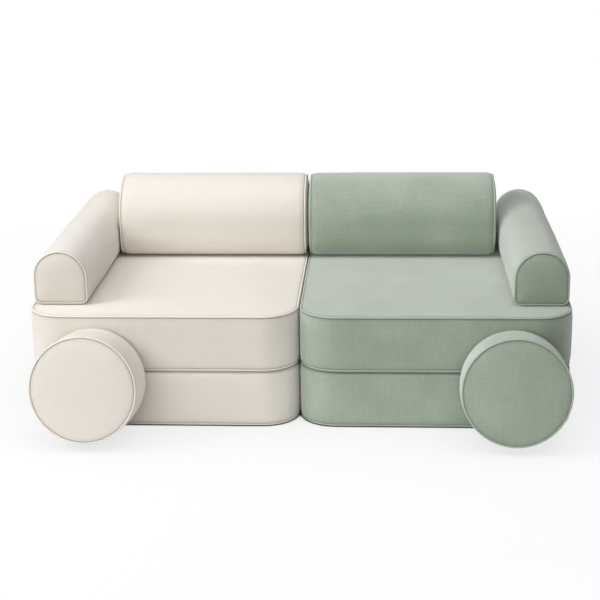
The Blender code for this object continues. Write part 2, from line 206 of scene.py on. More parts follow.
def stuffed(name, outline, counts, length, drawing, ends, crowns, place, rest=None):
    """The mesh of a stuffed cover between two end panels, with its cloth's UV map in metres.

    drawing is how far the band is drawn in at its edges, and how far from them it settles.
    ends are (panel, band) stations for the first and the last end. crowns give how far a panel
    stands out, from a point on it and its distance to the rim. rest is a function of the points:
    1 where the surface is free, 0 where it lies on something.
    """
    points, outwards, arc = outline
    draw_in, settle = drawing
    points = points - outwards * COVER_SINK
    count = len(points)
    (first_panel, first_band), (last_panel, last_band) = ends
    low, high = first_band[-1][1], length - last_band[-1][1]
    middle = max(2, round((high - low) / BAND_STEP))
    rows = [(inset, rise, share, "panel") for inset, rise, share in reversed(first_panel)]
    rows += [(inset, rise, share, "band") for inset, rise, share in first_band]
    for step in range(1, middle):
        rise = low + (high - low) * step / middle
        drawn = draw_in * (1 - float(smooth_step(min(rise, length - rise) / settle)))
        rows.append((drawn, rise, 0, "band"))
    rows += [(inset, length - rise, share, "band") for inset, rise, share in reversed(last_band)]
    rows += [(inset, length - rise, share, "panel") for inset, rise, share in last_panel]
    rim_low, rim_high = first_panel[0][0], last_panel[0][0]
    loops = []
    for row, (inset, rise, _, part) in enumerate(rows):
        ring = points - outwards * inset
        level = np.full(count, float(rise))
        if part == "panel":
            near_first = row < len(first_panel)
            crown = crowns[0] if near_first else crowns[1]
            depth = np.full(count, inset - (rim_low if near_first else rim_high))
            lift = crown(ring, depth)
            level = level - lift if near_first else level + lift
        loops.append(np.column_stack([ring, level]))
    verts = [tuple(point) for loop in loops for point in loop]
    seam = [tuple(point) for _ in loops for point in points]
    shares = [share for _, _, share, _ in rows for _ in points]
    band_rows = [row for row, entry in enumerate(rows) if entry[3] == "band"]
    faces, uvs = [], []
    for row in range(len(loops) - 1):
        flat = rows[row][3] == rows[row + 1][3] == "panel"
        for step in range(count):
            after = (step + 1) % count
            a, b = row * count + step, row * count + after
            c, d = (row + 1) * count + after, (row + 1) * count + step
            faces.append((a, b, c, d))
            if flat:
                uvs += [verts[corner][:2] for corner in (a, b, c, d)]
            else:
                left, right = arc[step], arc[step + 1]
                low_v, high_v = rows[row][1] - rows[row][0], rows[row + 1][1] - rows[row + 1][0]
                if row + 1 > band_rows[len(band_rows) // 2]:
                    low_v, high_v = rows[row][1] + rows[row][0], rows[row + 1][1] + rows[row + 1][0]
                uvs += [(left, low_v), (right, low_v), (right, high_v), (left, high_v)]
    for end, start in ((0, 0), (1, (len(loops) - 1) * count)):
        loop = loops[-1 if end else 0]
        grid = coons(loop, counts)
        flat_grid = grid.reshape(-1, 3)
        away = np.sqrt(((flat_grid[:, None, :2] - loop[None, :, :2]) ** 2).sum(2)).min(1)
        rim = rim_high if end else rim_low
        inner_inset = rows[-1 if end else 0][0] - rim
        lift = crowns[end](flat_grid[:, :2], away + inner_inset)
        base = length - last_panel[-1][1] if end else first_panel[-1][1]
        flat_grid[:, 2] = base + lift if end else base - lift
        grid = flat_grid.reshape(grid.shape)
        across, up = counts
        index = np.zeros((across + 1, up + 1), int)
        ring_steps = [(i, 0) for i in range(across)] + [(across, j) for j in range(up)]
        ring_steps += [(i, up) for i in range(across, 0, -1)] + [(0, j) for j in range(up, 0, -1)]
        for step, (i, j) in enumerate(ring_steps):
            index[i, j] = start + step
        for i in range(1, across):
            for j in range(1, up):
                index[i, j] = len(verts)
                verts.append(tuple(grid[i, j]))
                nearest = ((points - grid[i, j, :2]) ** 2).sum(1).argmin()
                seam.append(tuple(points[nearest]))
                shares.append(0)
        for i in range(across):
            for j in range(up):
                corners = (index[i, j], index[i + 1, j], index[i + 1, j + 1], index[i, j + 1])
                corners = corners if end else corners[::-1]
                faces.append(tuple(int(corner) for corner in corners))
                uvs += [verts[corner][:2] for corner in faces[-1]]
    mesh = bpy.data.meshes.new(name)
    mesh.from_pydata(verts, [], faces)
    layer = mesh.uv_layers.new(name="cloth")
    layer.data.foreach_set("uv", np.array(uvs, np.float32).ravel())
    mesh.polygons.foreach_set("use_smooth", [True] * len(mesh.polygons))
    piece = put_in_scene(name, mesh)
    # The seam attribute holds each point's share of the groove's depth and drives the cloth's painted shade
    # in the grooves.
    mesh.attributes.new("seam", "FLOAT", "POINT").data.foreach_set("value", shares)
    soften(piece, np.array(seam), np.array(shares), length, place, rest)
    mesh.transform(place)
    mesh.update()
    return piece


def free_everywhere(points):
    return np.ones(len(points))


def soften(piece, seam, shares, length, place, rest):
    """Slow swells over the whole cover and small puckers that run in from its seams.

    The vertex group "held" gets the seams and the resting faces, which the stuffing can't move.
    """
    mesh = piece.data
    count = len(mesh.vertices)
    points = np.empty(count * 3)
    mesh.vertices.foreach_get("co", points)
    points = points.reshape(-1, 3)
    normals = np.empty(count * 3, np.float32)
    mesh.vertices.foreach_get("normal", normals)
    normals = normals.reshape(-1, 3)
    seed = Vector((sum(map(ord, piece.name)) % 97, 0, 0))
    near_end = np.minimum(points[:, 2], length - points[:, 2]).clip(0)
    inward = np.sqrt(((points[:, :2] - seam) ** 2).sum(1))
    away = np.hypot(near_end, inward)
    shift = np.empty(count)
    for at in range(count):
        swell = SWELL * noise.noise(Vector(points[at]) / SWELL_PITCH + seed)
        foot = Vector((*seam[at], 0 if points[at, 2] < length / 2 else 1))
        pucker = PUCKER * exp(-away[at] / PUCKER_REACH) * noise.noise(foot / PUCKER_PITCH + seed)
        shift[at] = swell + pucker
    free = (rest or free_everywhere)(points) * clear_of_zip(piece.name, points, place)
    held = piece.vertex_groups.new(name="held")
    for at in range(count):
        held.add([at], max(1 - free[at], min(1, shares[at] * SEAM_HOLD)), "REPLACE")
    points = points + normals * (shift * free)[:, None]
    mesh.vertices.foreach_set("co", points.ravel())


def clear_of_zip(name, points, place):
    """0 beside the cover's zip, which holds the cloth flat, and 1 further away."""
    low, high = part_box(name.replace("_cushion", "_zip"))
    world = points @ np.array(place.to_3x3()).T + np.array(place.translation)
    outside = np.maximum(np.array(low) - world, world - np.array(high)).clip(0)
    return smooth_step((np.sqrt((outside**2).sum(1)) - ZIP_MARGIN) / (2 * ZIP_MARGIN))


def flat_crown(points, depth):
    return np.zeros(len(points))


def socket(tree, kind, name, way, value=None):
    made = tree.interface.new_socket(name=name, in_out=way, socket_type=kind)
    if value is not None:
        made.default_value = value
    return made


def woven_group():
    """Short-pile woven cloth: crossed threads, slub streaks, a slow mottling of the nap, and painted shade
    in the seam grooves.
    """
    tree = bpy.data.node_groups.new("woven_pile_cloth", "ShaderNodeTree")
    socket(tree, "NodeSocketVector", "Cloth", "INPUT")
    socket(tree, "NodeSocketVector", "Place", "INPUT")
    socket(tree, "NodeSocketColor", "Colour", "INPUT", (0.5, 0.5, 0.5, 1))
    socket(tree, "NodeSocketColor", "Pale", "INPUT", (0.6, 0.6, 0.6, 1))
    socket(tree, "NodeSocketFloat", "Thread pitch", "INPUT", 0.0011)
    socket(tree, "NodeSocketFloat", "Streaks", "INPUT", 0.5)
    socket(tree, "NodeSocketFloat", "Slubs", "INPUT", 0.3)
    socket(tree, "NodeSocketFloat", "Mottling", "INPUT", 0.3)
    socket(tree, "NodeSocketFloat", "Seam", "INPUT", 0)
    socket(tree, "NodeSocketColor", "Crease", "INPUT", (0.34, 0.31, 0.28, 1))
    socket(tree, "NodeSocketColor", "Colour", "OUTPUT")
    socket(tree, "NodeSocketFloat", "Roughness", "OUTPUT")
    socket(tree, "NodeSocketFloat", "Height", "OUTPUT")
    nodes, links = tree.nodes, tree.links
    given, made = nodes.new("NodeGroupInput"), nodes.new("NodeGroupOutput")

    def streak(scale):
        stretch = nodes.new("ShaderNodeMapping")
        stretch.inputs["Scale"].default_value = scale
        links.new(given.outputs["Cloth"], stretch.inputs["Vector"])
        texture = nodes.new("ShaderNodeTexNoise")
        texture.inputs["Scale"].default_value = 1
        texture.inputs["Detail"].default_value = 3
        texture.inputs["Roughness"].default_value = 0.6
        links.new(stretch.outputs["Vector"], texture.inputs["Vector"])
        return texture.outputs["Fac"]

    def arithmetic(operation, first, second):
        node = nodes.new("ShaderNodeMath")
        node.operation = operation
        for slot, value in enumerate((first, second)):
            if isinstance(value, (int, float)):
                node.inputs[slot].default_value = value
            else:
                links.new(value, node.inputs[slot])
        return node.outputs[0]

    across, along = streak((520, 55, 1)), streak((55, 520, 1))
    both = arithmetic("ADD", across, along)
    centred = arithmetic("SUBTRACT", both, 1)
    streaks = arithmetic("MULTIPLY", centred, given.outputs["Streaks"])
    slub = arithmetic("SUBTRACT", streak((230, 13, 1)), 0.5)
    crossing = arithmetic("SUBTRACT", streak((17, 190, 1)), 0.5)
    slubs = arithmetic("ADD", slub, arithmetic("MULTIPLY", crossing, 0.6))
    streaks = arithmetic("ADD", streaks, arithmetic("MULTIPLY", slubs, given.outputs["Slubs"]))
    mottle = nodes.new("ShaderNodeTexNoise")
    mottle.inputs["Scale"].default_value = 9
    mottle.inputs["Detail"].default_value = 4
    links.new(given.outputs["Place"], mottle.inputs["Vector"])
    nap = arithmetic("SUBTRACT", mottle.outputs["Fac"], 0.5)
    nap = arithmetic("MULTIPLY", nap, given.outputs["Mottling"])
    shade = arithmetic("ADD", arithmetic("ADD", streaks, nap), 0.5)
    blend = nodes.new("ShaderNodeMix")
    blend.data_type = "RGBA"
    links.new(shade, blend.inputs["Factor"])
    links.new(given.outputs["Colour"], blend.inputs["A"])
    links.new(given.outputs["Pale"], blend.inputs["B"])
    # Painted shade: the Seam share multiplies the colour towards the Crease colour, so the cloth is darkest
    # deep in the piped grooves.
    crease_shade = nodes.new("ShaderNodeMix")
    crease_shade.data_type = "RGBA"
    crease_shade.blend_type = "MULTIPLY"
    links.new(given.outputs["Crease"], crease_shade.inputs["B"])
    links.new(given.outputs["Seam"], crease_shade.inputs["Factor"])
    links.new(blend.outputs["Result"], crease_shade.inputs["A"])
    links.new(crease_shade.outputs["Result"], made.inputs["Colour"])
    split = nodes.new("ShaderNodeSeparateXYZ")
    links.new(given.outputs["Cloth"], split.inputs["Vector"])
    turns = arithmetic("DIVIDE", 2 * pi, given.outputs["Thread pitch"])
    warp = arithmetic("SINE", arithmetic("MULTIPLY", split.outputs["X"], turns), 0)
    weft = arithmetic("SINE", arithmetic("MULTIPLY", split.outputs["Y"], turns), 0)
    crossed = arithmetic("MULTIPLY", arithmetic("MULTIPLY", warp, weft), 0.35)
    height = arithmetic("ADD", crossed, both)
    links.new(height, made.inputs["Height"])
    rough = arithmetic("ADD", arithmetic("MULTIPLY", centred, -0.15), 0.86)
    links.new(rough, made.inputs["Roughness"])
    return tree


WOVEN = woven_group()


def new_material(name):
    """A material with its nodes, its links and its Principled shader."""
    made = bpy.data.materials.new(name)
    made.use_nodes = True
    nodes, links = made.node_tree.nodes, made.node_tree.links
    return made, nodes, links, nodes["Principled BSDF"]


def weave_cloth(nodes, links, shader, colour, pale, amounts, strength, depth):
    """Puts the woven group in a material, and feeds the shader's colour, roughness and bump."""
    shader.inputs["Specular IOR Level"].default_value = CLOTH_GLOSS
    weave = nodes.new("ShaderNodeGroup")
    weave.name = "weave"
    weave.node_tree = WOVEN
    weave.inputs["Colour"].default_value = (*colour, 1)
    weave.inputs["Pale"].default_value = (*pale, 1)
    for amount, value in amounts.items():
        weave.inputs[amount].default_value = value
    place = nodes.new("ShaderNodeTexCoord")
    links.new(place.outputs["Object"], weave.inputs["Place"])
    bump = nodes.new("ShaderNodeBump")
    bump.inputs["Strength"].default_value = strength
    bump.inputs["Distance"].default_value = depth
    links.new(weave.outputs["Height"], bump.inputs["Height"])
    links.new(bump.outputs["Normal"], shader.inputs["Normal"])
    links.new(weave.outputs["Colour"], shader.inputs["Base Color"])
    links.new(weave.outputs["Roughness"], shader.inputs["Roughness"])
    return weave, place


def cloth_material(name, colour, pale, pitch, streaks, slubs, mottling, sheen, nap):
    """Cloth on the piece's own UV map, in metres, with the pile's sheen on the shader itself."""
    made, nodes, links, shader = new_material(name)
    shader.inputs["Sheen Weight"].default_value = sheen
    shader.inputs["Sheen Roughness"].default_value = nap
    amounts = {"Thread pitch": pitch, "Streaks": streaks, "Slubs": slubs, "Mottling": mottling}
    weave, _ = weave_cloth(nodes, links, shader, colour, pale, amounts, 0.45, 0.0006)
    # The seam attribute sets how much painted shade the cloth gets in its seam grooves.
    seam = nodes.new("ShaderNodeAttribute")
    seam.attribute_name = "seam"
    links.new(seam.outputs["Fac"], weave.inputs["Seam"])
    unwrapped = nodes.new("ShaderNodeUVMap")
    unwrapped.uv_map = "cloth"
    links.new(unwrapped.outputs["UV"], weave.inputs["Cloth"])
    return made


# A darker painted shade for the seam grooves of the sage cloth.
SAGE_CREASE_SHADE = (0.13, 0.14, 0.12, 1)
CLOTH = {
    "left": cloth_material("cream_cloth", CREAM, CREAM_PALE, 0.0011, 0.7, 0.7, 0.5, 0.45, 0.55),
    "right": cloth_material("sage_cloth", SAGE, SAGE_PALE, 0.0011, 1.0, 1.1, 1.5, 1.0, 0.56),
}
CLOTH["right"].node_tree.nodes["weave"].inputs["Crease"].default_value = SAGE_CREASE_SHADE
COVERS = []


def dress(piece, side, body, node):
    """Cloth for a stuffed cover, which is listed for stuffing and smoothing, joins its body and stands for
    the frame's own part.
    """
    COVERS.append(piece)
    piece.data.materials.append(CLOTH[side])
    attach(piece, body)
    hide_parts(node)


def block_frame(node):
    """Centre in plan, sizes and lowest level of a block's cover in the frame."""
    low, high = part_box(node)
    middle = (low + high) / 2
    return Matrix.Translation((middle.x, middle.y, low.z)), high - low


def band_freedom(side, size):
    """1 on a block's band, 0 on its panels and on the side that faces the other module."""
    inner = 1 if side == "left" else -1

    def free(points):
        on_band = smooth_step(np.minimum(points[:, 2], size.z - points[:, 2]) / REST_MARGIN)
        return on_band * smooth_step((size.x / 2 - points[:, 0] * inner - MODULE_GAP) / REST_MARGIN)

    return free


for side in SIDES:
    place, size = block_frame(f"{side}_base_cover")
    outline = block_outline(size.x, size.y)
    lower = seam_stations(*BLOCK_DRAWING, PANEL_STEP, LOWER_LIFT["base"])
    upper = round_stations(*BLOCK_DRAWING, BASE_EDGE_ROUND, PANEL_STEP)
    crowns = (flat_crown, flat_crown)
    free = band_freedom(side, size)
    cover = stuffed(
        f"{side}_base_cushion", outline, BLOCK_COUNTS, size.z, BLOCK_DRAWING,
        (lower, upper), crowns, place, free,
    )
    dress(cover, side, f"{side}_base", f"{side}_base_cover")

# Seat cushions: the upper layer, a foam block in a cover of two panels and a band.
# Both of its seams are piped. The top panel is crowned where nothing lies on it, and flat
# under the arm and the back bolster.
SEAT_CROWN = 0.008
CROWN_RAMP = 0.15
BOLSTER_MARGIN = 0.03
RIM_MARGIN = 0.006
RIM_RAMP = 0.004


def seat_crown(side, place):
    """Height of the top panel over its rim: a low dome over the free part of the seat."""
    arm_low, arm_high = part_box(f"{side}_arm_cover")
    back_low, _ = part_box(f"{side}_back_cover")
    seat_low, seat_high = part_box(f"{side}_seat_cover")
    near_x = arm_high.x if side == "left" else seat_low.x
    far_x = seat_high.x if side == "left" else arm_low.x
    centre = place.translation

    def lift(points, depth):
        x, y = points[:, 0] + centre.x, points[:, 1] + centre.y
        from_sides = np.minimum(x - near_x, far_x - x)
        from_ends = np.minimum(y - seat_low.y, back_low.y - y)
        return SEAT_CROWN * smooth_step(from_sides / CROWN_RAMP) * smooth_step(from_ends / CROWN_RAMP)

    return lift


def seat_freedom(side, place, size, height):
    """1 on the free part of the seat cushion, 0 on its underside and under the bolsters."""
    arm_low, arm_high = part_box(f"{side}_arm_cover")
    back_low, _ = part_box(f"{side}_back_cover")
    centre = place.translation
    band = band_freedom(side, Vector((size.x, size.y, height)))

    def free(points):
        x, y, z = points[:, 0] + centre.x, points[:, 1] + centre.y, points[:, 2]
        from_arm = x - arm_high.x if side == "left" else arm_low.x - x
        top = smooth_step(from_arm / BOLSTER_MARGIN) * smooth_step((back_low.y - y) / BOLSTER_MARGIN)
        on_top = smooth_step((z - height + RIM_MARGIN) / RIM_RAMP)
        return np.maximum(band(points), top * on_top)

    return free


for side in SIDES:
    place, size = block_frame(f"{side}_seat_cover")
    outline = block_outline(size.x, size.y)
    height = size.z - SEAT_CROWN
    lower = seam_stations(*BLOCK_DRAWING, PANEL_STEP, LOWER_LIFT["seat"])
    upper = seam_stations(*BLOCK_DRAWING, PANEL_STEP)
    crowns = (flat_crown, seat_crown(side, place))
    freedom = seat_freedom(side, place, size, height)
    cover = stuffed(
        f"{side}_seat_cushion", outline, BLOCK_COUNTS, height, BLOCK_DRAWING,
        (lower, upper), crowns, place, freedom,
    )
    dress(cover, side, f"{side}_seat", f"{side}_seat_cover")

# Back bolsters: a long foam roll with a flat foot and a round top, in a cover of one long band
# and two crowned end panels with piped seams. It lies loose along the rear of the seat.
ROLL_DRAWING = {"back": (0.0035, 0.022), "arm": (0.001, 0.05)}
ROLL_PANEL_STEP = 0.012
FOOT_ROUND = {"back": 0.055, "arm": 0.018}
ROLL_END_CROWN = 0.005
ROLL_CROWN_RAMP = 0.045
BACK_COUNTS = (17, 17)


def arch_outline(width, height, foot, counts):
    """Round-topped section on a flat foot, counted from the middle of its lower left corner."""
    radius = width / 2
    low, spring = -height / 2, height / 2 - radius
    across = radius - foot
    stretches = [
        on_arc((-across, low + foot), foot, 225, 45),
        on_line((-across, low), (across, low)),
        on_arc((across, low + foot), foot, 270, 90),
        on_line((radius, low + foot), (radius, spring)),
        on_arc((0, spring), radius, 0, 180),
        on_line((-radius, spring), (-radius, low + foot)),
        on_arc((-across, low + foot), foot, 180, 45),
    ]
    half = foot * radians(45)
    floor = 2 * half + 2 * across
    side = half + (spring - low - foot) + radius * radians(45)
    return trace(stretches, [0, floor, floor + side, floor + side + radius * radians(90)], counts * 2)


def end_crown(height, ramp):
    """An end panel that swells evenly from its rim."""

    def lift(points, depth):
        return height * (1 - (1 - np.clip(depth / ramp, 0, 1)) ** 2)

    return lift


def roll_freedom(side, kind, low, length):
    """0 on the flat foot of a roll and on the end that meets the other module, 1 elsewhere."""

    def free(points):
        off_foot = smooth_step((points[:, 1] - low) / REST_MARGIN)
        if kind == "arm":
            return off_foot
        from_middle = length - points[:, 2] if side == "left" else points[:, 2]
        return off_foot * smooth_step(from_middle / REST_MARGIN)

    return free


def roll_cover(side, kind, section, counts, length, place):
    """The stuffed cover of a roll, whose length runs along local Z of its place."""
    outline = arch_outline(*section, FOOT_ROUND[kind], counts)
    drawing = ROLL_DRAWING[kind]
    seam = seam_stations(*drawing, ROLL_PANEL_STEP)
    crown = end_crown(ROLL_END_CROWN, ROLL_CROWN_RAMP)
    free = roll_freedom(side, kind, -section[1] / 2, length)
    cover = stuffed(
        f"{side}_{kind}_cushion", outline, counts, length, drawing,
        (seam, seam), (crown, crown), place, free,
    )
    dress(cover, side, f"{side}_{kind}", f"{side}_{kind}_cover")


ROLLS = {}
for side in SIDES:
    low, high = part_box(f"{side}_back_cover")
    middle = (low + high) / 2
    turn = Euler((pi / 2, 0, pi / 2)).to_matrix().to_4x4()
    place = Matrix.Translation((low.x + ROLL_END_CROWN, middle.y, middle.z)) @ turn
    length = high.x - low.x - 2 * ROLL_END_CROWN
    ROLLS[side, "back"] = ((high.y - low.y, high.z - low.z), length, place)
    roll_cover(side, "back", ROLLS[side, "back"][0], BACK_COUNTS, length, place)

# Arm bolsters: the same make as the back bolsters, smaller in section and longer.
# Each lies loose along the outer edge of its seat, with one end panel to the front.
ARM_COUNTS = (12, 12)

for side in SIDES:
    low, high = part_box(f"{side}_arm_cover")
    middle = (low + high) / 2
    turn = Euler((pi / 2, 0, 0)).to_matrix().to_4x4()
    place = Matrix.Translation((middle.x, high.y - ROLL_END_CROWN, middle.z)) @ turn
    length = high.y - low.y - 2 * ROLL_END_CROWN
    ROLLS[side, "arm"] = ((high.x - low.x, high.z - low.z), length, place)
    roll_cover(side, "arm", ROLLS[side, "arm"][0], ARM_COUNTS, length, place)

# Round cushions: a foam drum in a cover of two round panels and a band, piped at both rims.
# Each stands on the floor and leans on the front of its seat cushion.
DISC_RADIUS = 0.137
DISC_THICKNESS = 0.130
DISC_DRAWING = (0.001, 0.055)
DISC_CROWN = 0.006
DISC_CROWN_RAMP = 0.09
DISC_COUNTS = (18, 18)
JOINTS = {joint["name"]: joint for joint in frame["joints"]}


def disc_place(side):
    """The round cushion's own frame: its middle, with local Z out of its front panel."""
    joint = JOINTS[f"{side}_disc_zip_run"]
    front = Vector(joint["axis"]) * (1 if side == "right" else -1)
    lean = asin(front.z)
    turn = asin(front.x / cos(lean))
    return Matrix.Translation(joint["pos_m"]) @ Euler((pi / 2 - lean, 0, turn)).to_matrix().to_4x4()


def round_outline(radius, counts):
    quarter = radius * pi / 2
    return trace([on_arc((0, 0), radius, 225, 360)], [0, quarter, 2 * quarter, 3 * quarter], counts * 2)


DISCS = {side: disc_place(side) for side in SIDES}
for side, place in DISCS.items():
    seam = seam_stations(*DISC_DRAWING, ROLL_PANEL_STEP)
    crown = end_crown(DISC_CROWN, DISC_CROWN_RAMP)
    outline = round_outline(DISC_RADIUS, DISC_COUNTS)
    centred = place @ Matrix.Translation((0, 0, -DISC_THICKNESS / 2))
    cover = stuffed(
        f"{side}_disc_cushion", outline, DISC_COUNTS, DISC_THICKNESS, DISC_DRAWING,
        (seam, seam), (crown, crown), centred,
    )
    dress(cover, side, f"{side}_disc", f"{side}_disc_cover")

# Stuffing: the foam is cut a little larger than its cover, so it presses the cloth outwards.
# A short cloth simulation of all ten covers at once gives the slight bulges between the seams.
# Seams and resting faces are held, and no point moves further than a small cap.
STUFFING_FRAMES = 20
STUFFING_PRESSURE = 3.0
STUFFING_CAP = {"base": 0.0012, "seat": 0.0016, "back": 0.0035, "arm": 0.003, "disc": 0.003}
STUFFING_SLACK = 0.0003
CLOTH_EASE = -0.004


def cover_points(mesh):
    points = np.empty(len(mesh.vertices) * 3, np.float32)
    mesh.vertices.foreach_get("co", points)
    return points.reshape(-1, 3).astype(float)


def stuff(covers):
    """Runs the covers' cloth under pressure and keeps a capped share of what it moved."""
    for cover in covers:
        cloth = cover.modifiers.new("stuffing", "CLOTH")
        cloth.settings.quality = 4
        cloth.settings.mass = 0.3
        cloth.settings.tension_stiffness = 30
        cloth.settings.compression_stiffness = 30
        cloth.settings.shear_stiffness = 8
        cloth.settings.bending_stiffness = 0.6
        cloth.settings.use_pressure = True
        cloth.settings.uniform_pressure_force = STUFFING_PRESSURE
        cloth.settings.shrink_min = CLOTH_EASE
        cloth.settings.vertex_group_mass = "held"
        cloth.settings.effector_weights.gravity = 0
        cloth.collision_settings.use_collision = False
        cloth.point_cache.frame_start = 1
        cloth.point_cache.frame_end = STUFFING_FRAMES
    for frame_number in range(1, STUFFING_FRAMES + 1):
        bpy.context.scene.frame_set(frame_number)
    graph = bpy.context.evaluated_depsgraph_get()
    for cover in covers:
        pressed = cover.evaluated_get(graph).to_mesh()
        before, after = cover_points(cover.data), cover_points(pressed)
        cover.evaluated_get(graph).to_mesh_clear()
        moved = after - before
        normals = np.empty(len(before) * 3, np.float32)
        cover.data.vertices.foreach_get("normal", normals)
        normals = normals.reshape(-1, 3).astype(float)
        outward = (moved * normals).sum(1, keepdims=True)
        moved += normals * (np.maximum(outward, -STUFFING_SLACK) - outward)
        reach = np.sqrt((moved**2).sum(1, keepdims=True))
        cap = STUFFING_CAP[cover.name.split("_")[1]]
        cover.modifiers.remove(cover.modifiers["stuffing"])
        cover.data.vertices.foreach_set("co", (before + moved * cap / (cap + reach)).ravel())
        cover.data.update()
    bpy.context.scene.frame_set(1)


stuff(COVERS)
for cover in COVERS:
    finer = cover.modifiers.new("finer", "SUBSURF")
    finer.levels = finer.render_levels = 1

# Piping: a cord wrapped in a strip of the cover's own cloth, sewn into each piped seam.
# Each run is one closed loop, swept along its seam by Geometry Nodes.
PIPING_RADIUS = 0.0024
PIPING_SINK = 0.0026
CLEARANCE = 0.0003
PIPING_SIDES = 12
PIPING_STEP = 0.006


def end_tree(nodes, links, geometry, material, result):
    """Realize Instances and Set Material, with which each tree ends."""
    real = nodes.new("GeometryNodeRealizeInstances")
    links.new(geometry, real.inputs["Geometry"])
    painted = nodes.new("GeometryNodeSetMaterial")
    links.new(real.outputs["Geometry"], painted.inputs["Geometry"])
    links.new(material, painted.inputs["Material"])
    links.new(painted.outputs["Geometry"], result)


def sweep_group():
    """Sweeps a round cord along the edges of a mesh. Its size and fineness are inputs."""
    tree = bpy.data.node_groups.new("piping_sweep", "GeometryNodeTree")
    socket(tree, "NodeSocketGeometry", "Path", "INPUT")
    socket(tree, "NodeSocketFloat", "Radius", "INPUT", PIPING_RADIUS)
    socket(tree, "NodeSocketInt", "Sides", "INPUT", PIPING_SIDES)
    socket(tree, "NodeSocketFloat", "Step", "INPUT", PIPING_STEP)
    socket(tree, "NodeSocketMaterial", "Cloth", "INPUT")
    socket(tree, "NodeSocketGeometry", "Cord", "OUTPUT")
    nodes, links = tree.nodes, tree.links
    given, made = nodes.new("NodeGroupInput"), nodes.new("NodeGroupOutput")
    path = nodes.new("GeometryNodeMeshToCurve")
    links.new(given.outputs["Path"], path.inputs["Mesh"])
    even = nodes.new("GeometryNodeResampleCurve")
    even.mode = "LENGTH"
    links.new(path.outputs["Curve"], even.inputs["Curve"])
    links.new(given.outputs["Step"], even.inputs["Length"])
    section = nodes.new("GeometryNodeCurvePrimitiveCircle")
    links.new(given.outputs["Sides"], section.inputs["Resolution"])
    links.new(given.outputs["Radius"], section.inputs["Radius"])
    sweep = nodes.new("GeometryNodeCurveToMesh")
    links.new(even.outputs["Curve"], sweep.inputs["Curve"])
    links.new(section.outputs["Curve"], sweep.inputs["Profile Curve"])
    smooth = nodes.new("GeometryNodeSetShadeSmooth")
    links.new(sweep.outputs["Mesh"], smooth.inputs["Geometry"])
    end_tree(nodes, links, smooth.outputs["Geometry"], given.outputs["Cloth"], made.inputs["Cord"])
    return tree


def run_nodes(name, points, closed, tree, values):
    """A plain mesh from a node tree run over a path of points."""
    edges = [(step, step + 1) for step in range(len(points) - 1)]
    if closed:
        edges.append((len(points) - 1, 0))
    path = bpy.data.meshes.new(name)
    path.from_pydata([tuple(point) for point in points], edges, [])
    guide = put_in_scene(f"{name}_guide", path)
    modifier = guide.modifiers.new("made", "NODES")
    modifier.node_group = tree
    for item in tree.interface.items_tree:
        if item.in_out == "INPUT" and item.name in values:
            modifier[item.identifier] = values[item.name]
    graph = bpy.context.evaluated_depsgraph_get()
    mesh = bpy.data.meshes.new_from_object(guide.evaluated_get(graph))
    guide.modifiers.remove(modifier)
    bpy.data.objects.remove(guide)
    mesh.name = name
    return put_in_scene(name, mesh)


def piping_material(name, colour, pale, sheen):
    """Cloth cut on the bias and pulled tight over a cord: fine slanting threads."""
    made, nodes, links, shader = new_material(name)
    shader.inputs["Sheen Weight"].default_value = sheen
    amounts = {"Thread pitch": 0.0011, "Streaks": 0.6, "Mottling": 0.3}
    weave, place = weave_cloth(nodes, links, shader, colour, pale, amounts, 0.4, 0.0005)
    bias = nodes.new("ShaderNodeMapping")
    bias.inputs["Rotation"].default_value = (radians(35), radians(25), radians(45))
    links.new(place.outputs["Object"], bias.inputs["Vector"])
    links.new(bias.outputs["Vector"], weave.inputs["Cloth"])
    return made


PIPING_SWEEP = sweep_group()
# The piping colours are paler than the cover cloth: a painted highlight for the cord's lit rim.
PIPING = {
    "left": piping_material("cream_piping", (0.80, 0.745, 0.66), (0.86, 0.81, 0.73), 0.1),
    "right": piping_material("sage_piping", (0.37, 0.44, 0.355), (0.46, 0.53, 0.445), 0.3),
}


def piping(side, body, node, points):
    """One run of piping, which stands for the frame's own ring."""
    name = node.replace("_piping", "_cord")
    values = {"Radius": PIPING_RADIUS, "Sides": PIPING_SIDES, "Step": PIPING_STEP, "Cloth": PIPING[side]}
    piece = run_nodes(name, points, True, PIPING_SWEEP, values)
    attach(piece, body)
    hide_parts(node)


def seam_path(outline, inset, level, place):
    """The outline drawn in and carried to its place, for a cord to follow."""
    points, outwards, _ = outline
    ring = points - outwards * inset
    return [place @ Vector((x, y, level)) for x, y in ring]


